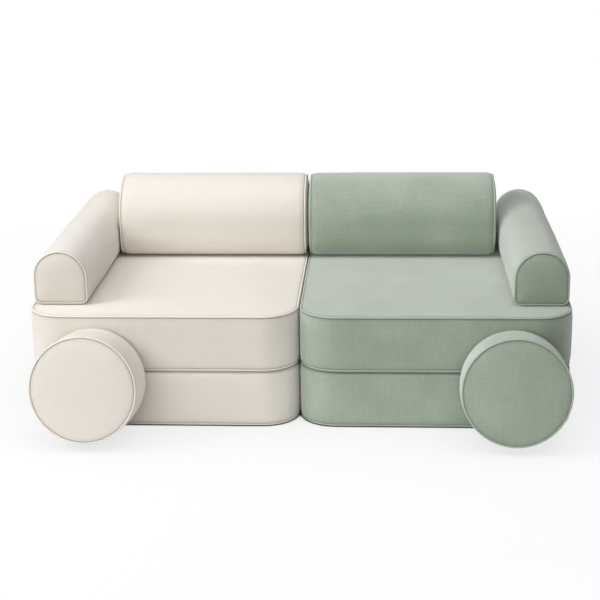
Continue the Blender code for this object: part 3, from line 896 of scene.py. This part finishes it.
ROLL_ENDS = (("back", ("left", "right"), BACK_COUNTS), ("arm", ("rear", "front"), ARM_COUNTS))
for side in SIDES:
    for kind, edges in (("base", ("lower",)), ("seat", ("lower", "upper"))):
        place, size = block_frame(f"{side}_{kind}_cover")
        outline = block_outline(size.x, size.y)
        inset = BLOCK_DRAWING[0] + PIPING_SINK + COVER_SINK
        for edge in edges:
            level = PIPING_SINK + LOWER_LIFT[kind] if edge == "lower" else size.z - SEAT_CROWN - PIPING_SINK
            path = seam_path(outline, inset, level, place)
            piping(side, f"{side}_{kind}", f"{side}_{kind}_{edge}_piping", path)
    for kind, ends, counts in ROLL_ENDS:
        section, length, place = ROLLS[side, kind]
        outline = arch_outline(*section, FOOT_ROUND[kind], counts)
        inset = ROLL_DRAWING[kind][0] + PIPING_SINK + COVER_SINK
        for end, level in zip(ends, (PIPING_SINK, length - PIPING_SINK)):
            path = seam_path(outline, inset, level, place)
            piping(side, f"{side}_{kind}", f"{side}_{kind}_{end}_piping", path)
    outline = round_outline(DISC_RADIUS, DISC_COUNTS)
    inset = DISC_DRAWING[0] + PIPING_SINK + COVER_SINK
    for face, way in (("front", 1), ("back", -1)):
        level = way * (DISC_THICKNESS / 2 - PIPING_SINK)
        path = seam_path(outline, inset, level, DISCS[side])
        piping(side, f"{side}_disc", f"{side}_disc_{face}_piping", path)

# Zips: a woven tape set into the cover, with a row of moulded teeth along its middle.
# They close the side of each cover that is out of sight, and the sliders have no pulls.
TAPE_THICKNESS = 0.0007
TEETH_PITCH = 0.0022
TOOTH = (0.0011, 0.0042, 0.0011)
DISC_ZIP_HALF_ANGLE = 44.8
DISC_ZIP_STEPS = 18
DISC_ZIP_HALF_WIDTH = 0.0057


def teeth_group():
    """Teeth at an even pitch along a path, square to it and standing on the tape."""
    tree = bpy.data.node_groups.new("zip_teeth", "GeometryNodeTree")
    socket(tree, "NodeSocketGeometry", "Path", "INPUT")
    socket(tree, "NodeSocketFloat", "Pitch", "INPUT", TEETH_PITCH)
    socket(tree, "NodeSocketVector", "Tooth", "INPUT")
    socket(tree, "NodeSocketVector", "Outward", "INPUT")
    socket(tree, "NodeSocketMaterial", "Plastic", "INPUT")
    socket(tree, "NodeSocketGeometry", "Teeth", "OUTPUT")
    nodes, links = tree.nodes, tree.links
    given, made = nodes.new("NodeGroupInput"), nodes.new("NodeGroupOutput")
    path = nodes.new("GeometryNodeMeshToCurve")
    links.new(given.outputs["Path"], path.inputs["Mesh"])
    even = nodes.new("GeometryNodeCurveToPoints")
    even.mode = "LENGTH"
    links.new(path.outputs["Curve"], even.inputs["Curve"])
    links.new(given.outputs["Pitch"], even.inputs["Length"])
    tooth = nodes.new("GeometryNodeMeshCube")
    links.new(given.outputs["Tooth"], tooth.inputs["Size"])
    along = nodes.new("FunctionNodeAlignRotationToVector")
    along.axis = "X"
    links.new(even.outputs["Tangent"], along.inputs["Vector"])
    upright = nodes.new("FunctionNodeAlignRotationToVector")
    upright.axis = "Z"
    upright.pivot_axis = "X"
    links.new(along.outputs["Rotation"], upright.inputs["Rotation"])
    links.new(given.outputs["Outward"], upright.inputs["Vector"])
    placed = nodes.new("GeometryNodeInstanceOnPoints")
    links.new(even.outputs["Points"], placed.inputs["Points"])
    links.new(tooth.outputs["Mesh"], placed.inputs["Instance"])
    links.new(upright.outputs["Rotation"], placed.inputs["Rotation"])
    end_tree(nodes, links, placed.outputs["Instances"], given.outputs["Plastic"], made.inputs["Teeth"])
    return tree


def two_tones(nodes, links, shader, grain, dark, light):
    """Base colour between two tones, chosen by a texture."""
    tone = nodes.new("ShaderNodeValToRGB")
    tone.color_ramp.elements[0].color = (*dark, 1)
    tone.color_ramp.elements[1].color = (*light, 1)
    links.new(grain, tone.inputs["Fac"])
    links.new(tone.outputs["Color"], shader.inputs["Base Color"])


def teeth_material(name, colour):
    """Moulded nylon teeth, a little glossier than the tape."""
    made, nodes, links, shader = new_material(name)
    place = nodes.new("ShaderNodeTexCoord")
    grain = nodes.new("ShaderNodeTexNoise")
    grain.inputs["Scale"].default_value = 700
    links.new(place.outputs["Object"], grain.inputs["Vector"])
    two_tones(nodes, links, shader, grain.outputs["Fac"], [value * 0.9 for value in colour], colour)
    shader.inputs["Roughness"].default_value = 0.4
    return made


TEETH = teeth_group()
NYLON = {
    "left": teeth_material("cream_zip_teeth", (0.66, 0.61, 0.53)),
    "right": teeth_material("sage_zip_teeth", (0.20, 0.26, 0.20)),
}
TAPE = {
    "left": cloth_material(
        "cream_zip_tape", (0.62, 0.57, 0.49), (0.70, 0.65, 0.57), 0.0009, 0.8, 0.3, 0.2, 0.05, 0.5
    ),
    "right": cloth_material(
        "sage_zip_tape", (0.19, 0.25, 0.19), (0.25, 0.31, 0.25), 0.0009, 0.8, 0.3, 0.2, 0.1, 0.5
    ),
}


def recalculate(mesh):
    """Turns the faces of a closed mesh outwards."""
    body = bmesh.new()
    body.from_mesh(mesh)
    bmesh.ops.recalc_face_normals(body, faces=body.faces)
    body.to_mesh(mesh)
    body.free()


def add_zip(side, kind, middles, outwards, across, half_width):
    """Tape and teeth along the points in middles. across is the tape's width direction."""
    node = f"{side}_{kind}_zip"
    verts, faces, uvs = [], [], []
    run = 0.0
    section = [(0, -half_width), (0, half_width)]
    section += [(TAPE_THICKNESS, half_width), (TAPE_THICKNESS, -half_width)]
    for step, (middle, outward) in enumerate(zip(middles, outwards)):
        if step:
            run += (middle - middles[step - 1]).length
        for drop, reach in section:
            verts.append(tuple(middle + across * reach - outward * drop))
            uvs.append((run, reach))
    for step in range(len(middles) - 1):
        for corner in range(4):
            low, high = step * 4, (step + 1) * 4
            after = (corner + 1) % 4
            faces.append((low + corner, low + after, high + after, high + corner))
    last = (len(middles) - 1) * 4
    faces += [(3, 2, 1, 0), (last, last + 1, last + 2, last + 3)]
    mesh = bpy.data.meshes.new(f"{node}_tape")
    mesh.from_pydata(verts, [], faces)
    layer = mesh.uv_layers.new(name="cloth")
    for polygon in mesh.polygons:
        for corner, vertex in zip(polygon.loop_indices, polygon.vertices):
            layer.data[corner].uv = uvs[vertex]
    mesh.materials.append(TAPE[side])
    tape = put_in_scene(f"{node}_tape", mesh)
    recalculate(mesh)
    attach(tape, f"{side}_{kind}")
    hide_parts(node)
    normal = outwards[len(outwards) // 2]
    values = {"Pitch": TEETH_PITCH, "Tooth": TOOTH, "Outward": tuple(normal), "Plastic": NYLON[side]}
    rows = [middle - outward * CLEARANCE for middle, outward in zip(middles, outwards)]
    teeth = run_nodes(f"{node}_teeth", rows, False, TEETH, values)
    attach(teeth, f"{side}_{kind}")


def straight_zip(side, kind, along, outward):
    """A zip that fills the box of the frame's own zip, along one row axis."""
    low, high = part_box(f"{side}_{kind}_zip")
    middle = (low + high) / 2
    size = high - low
    outward, along = Vector(outward), Vector(along)
    across = outward.cross(along)
    face = middle + outward * (abs(size.dot(outward)) / 2)
    reach = along * (abs(size.dot(along)) / 2)
    half_width = abs(size.dot(across)) / 2
    middles = [face - reach, face, face + reach]
    add_zip(side, kind, middles, [outward] * 3, across, half_width)


for side in SIDES:
    outer = -1 if side == "left" else 1
    for kind in ("base", "seat", "back"):
        straight_zip(side, kind, (1, 0, 0), (0, 1, 0))
    straight_zip(side, "arm", (0, 1, 0), (outer, 0, 0))
    place = DISCS[side]
    half_angle = radians(DISC_ZIP_HALF_ANGLE)
    middles, outwards = [], []
    for step in range(DISC_ZIP_STEPS + 1):
        angle = -half_angle + 2 * half_angle * step / DISC_ZIP_STEPS
        outward = Vector((outer * cos(angle), sin(angle), 0))
        outwards.append((place.to_3x3() @ outward).normalized())
        middles.append(place @ (outward * DISC_RADIUS))
    across = place.to_3x3() @ Vector((0, 0, 1))
    add_zip(side, "disc", middles, outwards, across, DISC_ZIP_HALF_WIDTH)

# Zip sliders: small die-cast bodies without pulls, which a paper clip moves.
# Their shape comes from the frame, and they get a brushed nickel finish.


def nickel():
    made, nodes, links, shader = new_material("satin_nickel")
    shader.inputs["Metallic"].default_value = 1
    place = nodes.new("ShaderNodeTexCoord")
    brushed = nodes.new("ShaderNodeMapping")
    brushed.inputs["Scale"].default_value = (300, 3000, 3000)
    links.new(place.outputs["Object"], brushed.inputs["Vector"])
    grain = nodes.new("ShaderNodeTexNoise")
    grain.inputs["Scale"].default_value = 1
    links.new(brushed.outputs["Vector"], grain.inputs["Vector"])
    two_tones(nodes, links, shader, grain.outputs["Fac"], (0.52, 0.51, 0.48), (0.68, 0.67, 0.64))
    rough = nodes.new("ShaderNodeMapRange")
    rough.inputs["To Min"].default_value = 0.28
    rough.inputs["To Max"].default_value = 0.42
    links.new(grain.outputs["Fac"], rough.inputs["Value"])
    links.new(rough.outputs["Result"], shader.inputs["Roughness"])
    return made


# Foam cores: blocks of open-cell foam, cut to the shape of each cover and pushed in by its zip.
# They are out of sight while the cover is closed, and keep the shape that the frame gives them.


def open_cell():
    made, nodes, links, shader = new_material("open_cell_foam")
    place = nodes.new("ShaderNodeTexCoord")
    cells = nodes.new("ShaderNodeTexVoronoi")
    cells.inputs["Scale"].default_value = 450
    links.new(place.outputs["Object"], cells.inputs["Vector"])
    two_tones(nodes, links, shader, cells.outputs["Distance"], (0.62, 0.54, 0.34), (0.88, 0.82, 0.62))
    shader.inputs["Roughness"].default_value = 0.95
    bump = nodes.new("ShaderNodeBump")
    bump.inputs["Distance"].default_value = 0.001
    links.new(cells.outputs["Distance"], bump.inputs["Height"])
    links.new(bump.outputs["Normal"], shader.inputs["Normal"])
    return made


FOAM, NICKEL = open_cell(), nickel()
for name, node in frame["nodes"].items():
    finish = FOAM if name.endswith("_foam") else NICKEL if name.endswith("_zip_slider") else None
    if finish:
        node.data.materials.clear()
        node.data.materials.append(finish)

# Floor, light and camera of a plain studio: none of it belongs to the sofa.
# The floor whitens towards the camera, and its shade round the cushions is partly real light and partly
# painted: ambient occlusion paints the camera's white dimmer near the cushions and paints its colour dark
# where they touch it, a painted contact shadow. It fades out before its edge.
FLOOR_SIZE = 9
FLOOR_COLOUR = (0.86, 0.86, 0.86)
FLOOR_SHADE_REACH = 0.5
FLOOR_NEAR_WHITE = 0.83
FLOOR_OPENING = 0.9
FLOOR_WHITENING = 0.88
CONTACT_REACH = 0.012
CONTACT_SHADOW_COLOUR = (0.08, 0.08, 0.08)
CONTACT_CLOSED = 0.45
CONTACT_OPENING = 0.85
FLOOR_FADE_START = 1.1
FLOOR_FADE_END = 2.2
CAMERA_PLACE = (0.21434, -3.65320, 1.41127)
CAMERA_PITCH = 17.69
CAMERA_YAW = -3.53
CAMERA_ROLL = -0.88
FOCAL_PIXELS = 1400
PHOTO_PIXELS = 600
SENSOR = 36

bpy.ops.mesh.primitive_plane_add(size=FLOOR_SIZE)
floor = bpy.context.object
floor.name = "studio_floor"
paint, nodes, links, shader = new_material("studio_floor")
shader.inputs["Roughness"].default_value = 0.9
shader.inputs["Specular IOR Level"].default_value = 0.1
seen = nodes.new("ShaderNodeLightPath")
# Painted shade: ambient occlusion dims the white that the floor shows the camera near the cushions.
open_floor = nodes.new("ShaderNodeAmbientOcclusion")
open_floor.inputs["Distance"].default_value = FLOOR_SHADE_REACH
glow = nodes.new("ShaderNodeMapRange")
glow.inputs["From Max"].default_value = FLOOR_OPENING
glow.inputs["To Min"].default_value = FLOOR_NEAR_WHITE
links.new(open_floor.outputs["AO"], glow.inputs["Value"])
# Painted contact shadow: where ambient occlusion is short, the base colour turns to the contact shadow
# colour.
contact = nodes.new("ShaderNodeAmbientOcclusion")
contact.inputs["Distance"].default_value = CONTACT_REACH
opening = nodes.new("ShaderNodeMapRange")
opening.inputs["From Min"].default_value = CONTACT_CLOSED
opening.inputs["From Max"].default_value = CONTACT_OPENING
links.new(contact.outputs["AO"], opening.inputs["Value"])
shaded = nodes.new("ShaderNodeMix")
shaded.data_type = "RGBA"
shaded.inputs["A"].default_value = (*CONTACT_SHADOW_COLOUR, 1)
shaded.inputs["B"].default_value = (*FLOOR_COLOUR, 1)
links.new(opening.outputs["Result"], shaded.inputs["Factor"])
links.new(shaded.outputs["Result"], shader.inputs["Base Color"])
share = nodes.new("ShaderNodeMath")
share.operation = "MULTIPLY"
share.inputs[1].default_value = FLOOR_WHITENING
links.new(opening.outputs["Result"], share.inputs[0])
whiteness = nodes.new("ShaderNodeMath")
whiteness.operation = "MULTIPLY"
links.new(share.outputs[0], whiteness.inputs[0])
links.new(seen.outputs["Is Camera Ray"], whiteness.inputs[1])
sheet = nodes.new("ShaderNodeEmission")
links.new(glow.outputs["Result"], sheet.inputs["Strength"])
lifted = nodes.new("ShaderNodeMixShader")
links.new(whiteness.outputs[0], lifted.inputs["Fac"])
links.new(shader.outputs["BSDF"], lifted.inputs[1])
links.new(sheet.outputs["Emission"], lifted.inputs[2])
faded = nodes.new("ShaderNodeMixShader")
clear = nodes.new("ShaderNodeBsdfTransparent")
place = nodes.new("ShaderNodeTexCoord")
distance = nodes.new("ShaderNodeVectorMath")
distance.operation = "LENGTH"
links.new(place.outputs["Object"], distance.inputs[0])
fade = nodes.new("ShaderNodeMapRange")
fade.inputs["From Min"].default_value = FLOOR_FADE_START
fade.inputs["From Max"].default_value = FLOOR_FADE_END
links.new(distance.outputs["Value"], fade.inputs["Value"])
links.new(fade.outputs["Result"], faded.inputs["Fac"])
links.new(lifted.outputs["Shader"], faded.inputs[1])
links.new(clear.outputs["BSDF"], faded.inputs[2])
links.new(faded.outputs["Shader"], nodes["Material Output"].inputs["Surface"])
floor.data.materials.append(paint)


def area_light(name, place, target, size, power):
    """A softbox that points at its target. A new lamp is already white."""
    data = bpy.data.lights.new(name, "AREA")
    data.shape = "RECTANGLE"
    data.size, data.size_y = size
    data.energy = power
    lamp = put_in_scene(name, data)
    lamp.location = place
    lamp.rotation_euler = (Vector(target) - Vector(place)).to_track_quat("-Z", "Y").to_euler()


area_light("top_softbox", (0, -0.7, 3.2), (0, 0.1, 0), (4.0, 2.6), 76)
area_light("left_softbox", (-3.0, -0.8, 2.5), (0, 0, 0.2), (2.0, 2.0), 80)
area_light("front_softbox", (-1.0, -4.1, 1.25), (0, 0, 0.3), (3.0, 1.5), 57)
area_light("rear_softbox", (0, 3.0, 2.6), (0, 0, 0.4), (4.0, 1.5), 11)

world = bpy.data.worlds.new("studio")
bpy.context.scene.world = world
world.use_nodes = True
nodes, links = world.node_tree.nodes, world.node_tree.links
nodes.clear()
seen = nodes.new("ShaderNodeLightPath")
any_view = seen.outputs["Is Camera Ray"]
for ray in ("Is Glossy Ray", "Is Transmission Ray"):
    either = nodes.new("ShaderNodeMath")
    either.operation = "MAXIMUM"
    links.new(any_view, either.inputs[0])
    links.new(seen.outputs[ray], either.inputs[1])
    any_view = either.outputs[0]
white = nodes.new("ShaderNodeBackground")
white.inputs["Color"].default_value = (1, 1, 1, 1)
ambient = nodes.new("ShaderNodeBackground")
ambient.inputs["Strength"].default_value = 0.05
choose = nodes.new("ShaderNodeMixShader")
links.new(any_view, choose.inputs["Fac"])
links.new(ambient.outputs["Background"], choose.inputs[1])
links.new(white.outputs["Background"], choose.inputs[2])
output = nodes.new("ShaderNodeOutputWorld")
links.new(choose.outputs["Shader"], output.inputs["Surface"])

camera = put_in_scene("photo_camera", bpy.data.cameras.new("photo_camera"))
bpy.context.scene.camera = camera
camera.data.sensor_width = SENSOR
camera.data.lens = SENSOR * FOCAL_PIXELS / PHOTO_PIXELS
pitch, yaw, roll = radians(CAMERA_PITCH), radians(CAMERA_YAW), radians(CAMERA_ROLL)
ahead = Vector((sin(yaw) * cos(pitch), cos(yaw) * cos(pitch), -sin(pitch)))
level = Vector((cos(yaw), -sin(yaw), 0))
above = level.cross(ahead)
right = level * cos(roll) + above * sin(roll)
up = above * cos(roll) - level * sin(roll)
camera.matrix_world = Matrix.Translation(CAMERA_PLACE) @ Matrix((right, up, -ahead)).transposed().to_4x4()
bpy.context.scene.view_settings.view_transform = "Standard"
